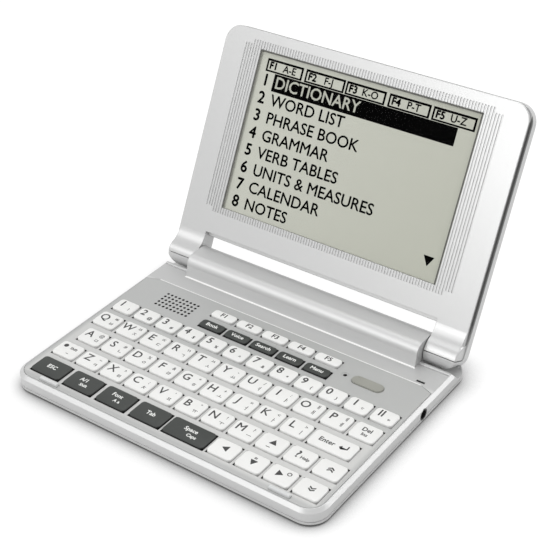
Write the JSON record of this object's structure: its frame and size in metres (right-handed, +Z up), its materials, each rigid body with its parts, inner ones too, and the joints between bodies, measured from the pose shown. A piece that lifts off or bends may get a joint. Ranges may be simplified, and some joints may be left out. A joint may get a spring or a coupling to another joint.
{
  "type": "electronic dictionary",
  "caption": "Clamshell pocket dictionary: flat keyboard base with a battery hump at the back and a hinged lid that holds a wide grey display.",
  "frame": {"origin": "middle of the bounding box at rest, on the table under the feet", "axes": "+X to the right of the user, +Y from the front edge towards the hinge, +Z up"},
  "size_m": [0.14, 0.1476, 0.0982],
  "materials": {
    "case_silver": "fine metallic silver paint on moulded plastic",
    "case_light": "fine metallic silver paint on moulded plastic",
    "deck_silver": "satin silver paint",
    "mat_rubber": "translucent silicone",
    "board_green": "green solder mask",
    "speaker_black": "black paper cone in a steel basket",
    "jack_black": "black moulded socket",
    "cell_metal": "printed sleeve on a dry cell",
    "contact_metal": "nickel-plated spring strip",
    "pad_rubber": "grey rubber",
    "screw_steel": "zinc-plated",
    "button_grey": "smooth warm grey",
    "lid_silver": "fine metallic silver paint on moulded plastic",
    "window_clear": "clear acrylic",
    "lcd_grey": "reflective grey-green liquid crystal display",
    "pin_steel": "ground steel",
    "bush_brass": "turned",
    "lead_black": "sheathed lead",
    "key_white": "off-white moulded plastic",
    "key_dark": "dark grey moulded plastic"
  },
  "bodies": {
    "base": {"lower_case": "case_silver", "upper_case": "case_light", "keyboard_deck": "deck_silver", "key_mat": "mat_rubber", "main_board": "board_green", "speaker": "speaker_black", "earphone_jack": "jack_black", "battery_cells": "cell_metal", "battery_contacts": "contact_metal", "rubber_pads": "pad_rubber", "case_screws": "screw_steel", "hinge_bushes": "bush_brass"},
    "lid": {"lid_frame": "lid_silver", "lid_back": "lid_silver", "screen_window": "window_clear", "lcd_panel": "lcd_grey", "hinge_pins": "pin_steel", "display_cable": "lead_black"},
    "battery_door": {"battery_cover": "case_silver"},
    "power_switch": {"power_button": "button_grey"},
    "number_key_1_body": {"number_key_1": "key_white"},
    "number_key_2_body": {"number_key_2": "key_white"},
    "number_key_3_body": {"number_key_3": "key_white"},
    "number_key_4_body": {"number_key_4": "key_white"},
    "number_key_5_body": {"number_key_5": "key_white"},
    "number_key_6_body": {"number_key_6": "key_white"},
    "number_key_7_body": {"number_key_7": "key_white"},
    "number_key_8_body": {"number_key_8": "key_white"},
    "number_key_9_body": {"number_key_9": "key_white"},
    "number_key_10_body": {"number_key_10": "key_white"},
    "number_key_11_body": {"number_key_11": "key_white"},
    "number_key_12_body": {"number_key_12": "key_white"},
    "function_key_1_body": {"function_key_1": "key_white"},
    "function_key_2_body": {"function_key_2": "key_white"},
    "function_key_3_body": {"function_key_3": "key_white"},
    "function_key_4_body": {"function_key_4": "key_white"},
    "function_key_5_body": {"function_key_5": "key_white"},
    "menu_key_1_body": {"menu_key_1": "key_dark"},
    "menu_key_2_body": {"menu_key_2": "key_dark"},
    "menu_key_3_body": {"menu_key_3": "key_dark"},
    "menu_key_4_body": {"menu_key_4": "key_dark"},
    "menu_key_5_body": {"menu_key_5": "key_dark"},
    "mode_key_1_body": {"mode_key_1": "key_dark"},
    "mode_key_2_body": {"mode_key_2": "key_dark"},
    "mode_key_3_body": {"mode_key_3": "key_dark"},
    "mode_key_4_body": {"mode_key_4": "key_dark"},
    "space_key_body": {"space_key": "key_dark"},
    "left_key_body": {"left_key": "key_white"},
    "down_key_body": {"down_key": "key_white"},
    "right_key_body": {"right_key": "key_white"},
    "up_key_body": {"up_key": "key_white"},
    "page_up_key_body": {"page_up_key": "key_white"},
    "page_down_key_body": {"page_down_key": "key_white"},
    "help_key_body": {"help_key": "key_white"},
    "shift_key_body": {"shift_key": "key_white"},
    "enter_key_body": {"enter_key": "key_white"},
    "delete_key_body": {"delete_key": "key_white"},
    "letter_keys_top_body": {"letter_keys_top": "key_white"},
    "letter_keys_middle_body": {"letter_keys_middle": "key_white"},
    "letter_keys_bottom_body": {"letter_keys_bottom": "key_white"}
  },
  "joints": [
    {"name": "lid_hinge", "type": "hinge", "parent": "base", "child": "lid", "pos_m": [0, 0.02511, 0.01], "axis": [1, 0, 0], "range_deg": [-30, 116.8]},
    {"name": "battery_door_slide", "type": "slide", "parent": "base", "child": "battery_door", "axis": [0, 1, 0], "range_m": [0, 0.005]},
    {"name": "power_press", "type": "slide", "parent": "base", "child": "power_switch", "axis": [0, 0, -1], "range_m": [0, 0.0004], "stiffness_N_per_m": 600, "springref_m": -0.0004},
    {"name": "number_key_1_press", "type": "slide", "parent": "base", "child": "number_key_1_body", "axis": [0, 0, -1], "range_m": [0, 0.0008], "stiffness_N_per_m": 400, "springref_m": -0.0005},
    {"name": "number_key_2_press", "type": "slide", "parent": "base", "child": "number_key_2_body", "axis": [0, 0, -1], "range_m": [0, 0.0008], "stiffness_N_per_m": 400, "springref_m": -0.0005},
    {"name": "number_key_3_press", "type": "slide", "parent": "base", "child": "number_key_3_body", "axis": [0, 0, -1], "range_m": [0, 0.0008], "stiffness_N_per_m": 400, "springref_m": -0.0005},
    {"name": "number_key_4_press", "type": "slide", "parent": "base", "child": "number_key_4_body", "axis": [0, 0, -1], "range_m": [0, 0.0008], "stiffness_N_per_m": 400, "springref_m": -0.0005},
    {"name": "number_key_5_press", "type": "slide", "parent": "base", "child": "number_key_5_body", "axis": [0, 0, -1], "range_m": [0, 0.0008], "stiffness_N_per_m": 400, "springref_m": -0.0005},
    {"name": "number_key_6_press", "type": "slide", "parent": "base", "child": "number_key_6_body", "axis": [0, 0, -1], "range_m": [0, 0.0008], "stiffness_N_per_m": 400, "springref_m": -0.0005},
    {"name": "number_key_7_press", "type": "slide", "parent": "base", "child": "number_key_7_body", "axis": [0, 0, -1], "range_m": [0, 0.0008], "stiffness_N_per_m": 400, "springref_m": -0.0005},
    {"name": "number_key_8_press", "type": "slide", "parent": "base", "child": "number_key_8_body", "axis": [0, 0, -1], "range_m": [0, 0.0008], "stiffness_N_per_m": 400, "springref_m": -0.0005},
    {"name": "number_key_9_press", "type": "slide", "parent": "base", "child": "number_key_9_body", "axis": [0, 0, -1], "range_m": [0, 0.0008], "stiffness_N_per_m": 400, "springref_m": -0.0005},
    {"name": "number_key_10_press", "type": "slide", "parent": "base", "child": "number_key_10_body", "axis": [0, 0, -1], "range_m": [0, 0.0008], "stiffness_N_per_m": 400, "springref_m": -0.0005},
    {"name": "number_key_11_press", "type": "slide", "parent": "base", "child": "number_key_11_body", "axis": [0, 0, -1], "range_m": [0, 0.0008], "stiffness_N_per_m": 400, "springref_m": -0.0005},
    {"name": "number_key_12_press", "type": "slide", "parent": "base", "child": "number_key_12_body", "axis": [0, 0, -1], "range_m": [0, 0.0008], "stiffness_N_per_m": 400, "springref_m": -0.0005},
    {"name": "function_key_1_press", "type": "slide", "parent": "base", "child": "function_key_1_body", "axis": [0, 0, -1], "range_m": [0, 0.0008], "stiffness_N_per_m": 400, "springref_m": -0.0005},
    {"name": "function_key_2_press", "type": "slide", "parent": "base", "child": "function_key_2_body", "axis": [0, 0, -1], "range_m": [0, 0.0008], "stiffness_N_per_m": 400, "springref_m": -0.0005},
    {"name": "function_key_3_press", "type": "slide", "parent": "base", "child": "function_key_3_body", "axis": [0, 0, -1], "range_m": [0, 0.0008], "stiffness_N_per_m": 400, "springref_m": -0.0005},
    {"name": "function_key_4_press", "type": "slide", "parent": "base", "child": "function_key_4_body", "axis": [0, 0, -1], "range_m": [0, 0.0008], "stiffness_N_per_m": 400, "springref_m": -0.0005},
    {"name": "function_key_5_press", "type": "slide", "parent": "base", "child": "function_key_5_body", "axis": [0, 0, -1], "range_m": [0, 0.0008], "stiffness_N_per_m": 400, "springref_m": -0.0005},
    {"name": "menu_key_1_press", "type": "slide", "parent": "base", "child": "menu_key_1_body", "axis": [0, 0, -1], "range_m": [0, 0.0008], "stiffness_N_per_m": 400, "springref_m": -0.0005},
    {"name": "menu_key_2_press", "type": "slide", "parent": "base", "child": "menu_key_2_body", "axis": [0, 0, -1], "range_m": [0, 0.0008], "stiffness_N_per_m": 400, "springref_m": -0.0005},
    {"name": "menu_key_3_press", "type": "slide", "parent": "base", "child": "menu_key_3_body", "axis": [0, 0, -1], "range_m": [0, 0.0008], "stiffness_N_per_m": 400, "springref_m": -0.0005},
    {"name": "menu_key_4_press", "type": "slide", "parent": "base", "child": "menu_key_4_body", "axis": [0, 0, -1], "range_m": [0, 0.0008], "stiffness_N_per_m": 400, "springref_m": -0.0005},
    {"name": "menu_key_5_press", "type": "slide", "parent": "base", "child": "menu_key_5_body", "axis": [0, 0, -1], "range_m": [0, 0.0008], "stiffness_N_per_m": 400, "springref_m": -0.0005},
    {"name": "mode_key_1_press", "type": "slide", "parent": "base", "child": "mode_key_1_body", "axis": [0, 0, -1], "range_m": [0, 0.0008], "stiffness_N_per_m": 400, "springref_m": -0.0005},
    {"name": "mode_key_2_press", "type": "slide", "parent": "base", "child": "mode_key_2_body", "axis": [0, 0, -1], "range_m": [0, 0.0008], "stiffness_N_per_m": 400, "springref_m": -0.0005},
    {"name": "mode_key_3_press", "type": "slide", "parent": "base", "child": "mode_key_3_body", "axis": [0, 0, -1], "range_m": [0, 0.0008], "stiffness_N_per_m": 400, "springref_m": -0.0005},
    {"name": "mode_key_4_press", "type": "slide", "parent": "base", "child": "mode_key_4_body", "axis": [0, 0, -1], "range_m": [0, 0.0008], "stiffness_N_per_m": 400, "springref_m": -0.0005},
    {"name": "space_key_press", "type": "slide", "parent": "base", "child": "space_key_body", "axis": [0, 0, -1], "range_m": [0, 0.0008], "stiffness_N_per_m": 400, "springref_m": -0.0005},
    {"name": "left_key_press", "type": "slide", "parent": "base", "child": "left_key_body", "axis": [0, 0, -1], "range_m": [0, 0.0008], "stiffness_N_per_m": 400, "springref_m": -0.0005},
    {"name": "down_key_press", "type": "slide", "parent": "base", "child": "down_key_body", "axis": [0, 0, -1], "range_m": [0, 0.0008], "stiffness_N_per_m": 400, "springref_m": -0.0005},
    {"name": "right_key_press", "type": "slide", "parent": "base", "child": "right_key_body", "axis": [0, 0, -1], "range_m": [0, 0.0008], "stiffness_N_per_m": 400, "springref_m": -0.0005},
    {"name": "up_key_press", "type": "slide", "parent": "base", "child": "up_key_body", "axis": [0, 0, -1], "range_m": [0, 0.0008], "stiffness_N_per_m": 400, "springref_m": -0.0005},
    {"name": "page_up_key_press", "type": "slide", "parent": "base", "child": "page_up_key_body", "axis": [0, 0, -1], "range_m": [0, 0.0008], "stiffness_N_per_m": 400, "springref_m": -0.0005},
    {"name": "page_down_key_press", "type": "slide", "parent": "base", "child": "page_down_key_body", "axis": [0, 0, -1], "range_m": [0, 0.0008], "stiffness_N_per_m": 400, "springref_m": -0.0005},
    {"name": "help_key_press", "type": "slide", "parent": "base", "child": "help_key_body", "axis": [0, 0, -1], "range_m": [0, 0.0008], "stiffness_N_per_m": 400, "springref_m": -0.0005},
    {"name": "shift_key_press", "type": "slide", "parent": "base", "child": "shift_key_body", "axis": [0, 0, -1], "range_m": [0, 0.0008], "stiffness_N_per_m": 400, "springref_m": -0.0005},
    {"name": "enter_key_press", "type": "slide", "parent": "base", "child": "enter_key_body", "axis": [0, 0, -1], "range_m": [0, 0.0008], "stiffness_N_per_m": 400, "springref_m": -0.0005},
    {"name": "delete_key_press", "type": "slide", "parent": "base", "child": "delete_key_body", "axis": [0, 0, -1], "range_m": [0, 0.0008], "stiffness_N_per_m": 400, "springref_m": -0.0005},
    {"name": "letter_keys_top_press", "type": "slide", "parent": "base", "child": "letter_keys_top_body", "axis": [0, 0, -1], "range_m": [0, 0.0008], "stiffness_N_per_m": 400, "springref_m": -0.0005},
    {"name": "letter_keys_middle_press", "type": "slide", "parent": "base", "child": "letter_keys_middle_body", "axis": [0, 0, -1], "range_m": [0, 0.0008], "stiffness_N_per_m": 400, "springref_m": -0.0005},
    {"name": "letter_keys_bottom_press", "type": "slide", "parent": "base", "child": "letter_keys_bottom_body", "axis": [0, 0, -1], "range_m": [0, 0.0008], "stiffness_N_per_m": 400, "springref_m": -0.0005}
  ]
}
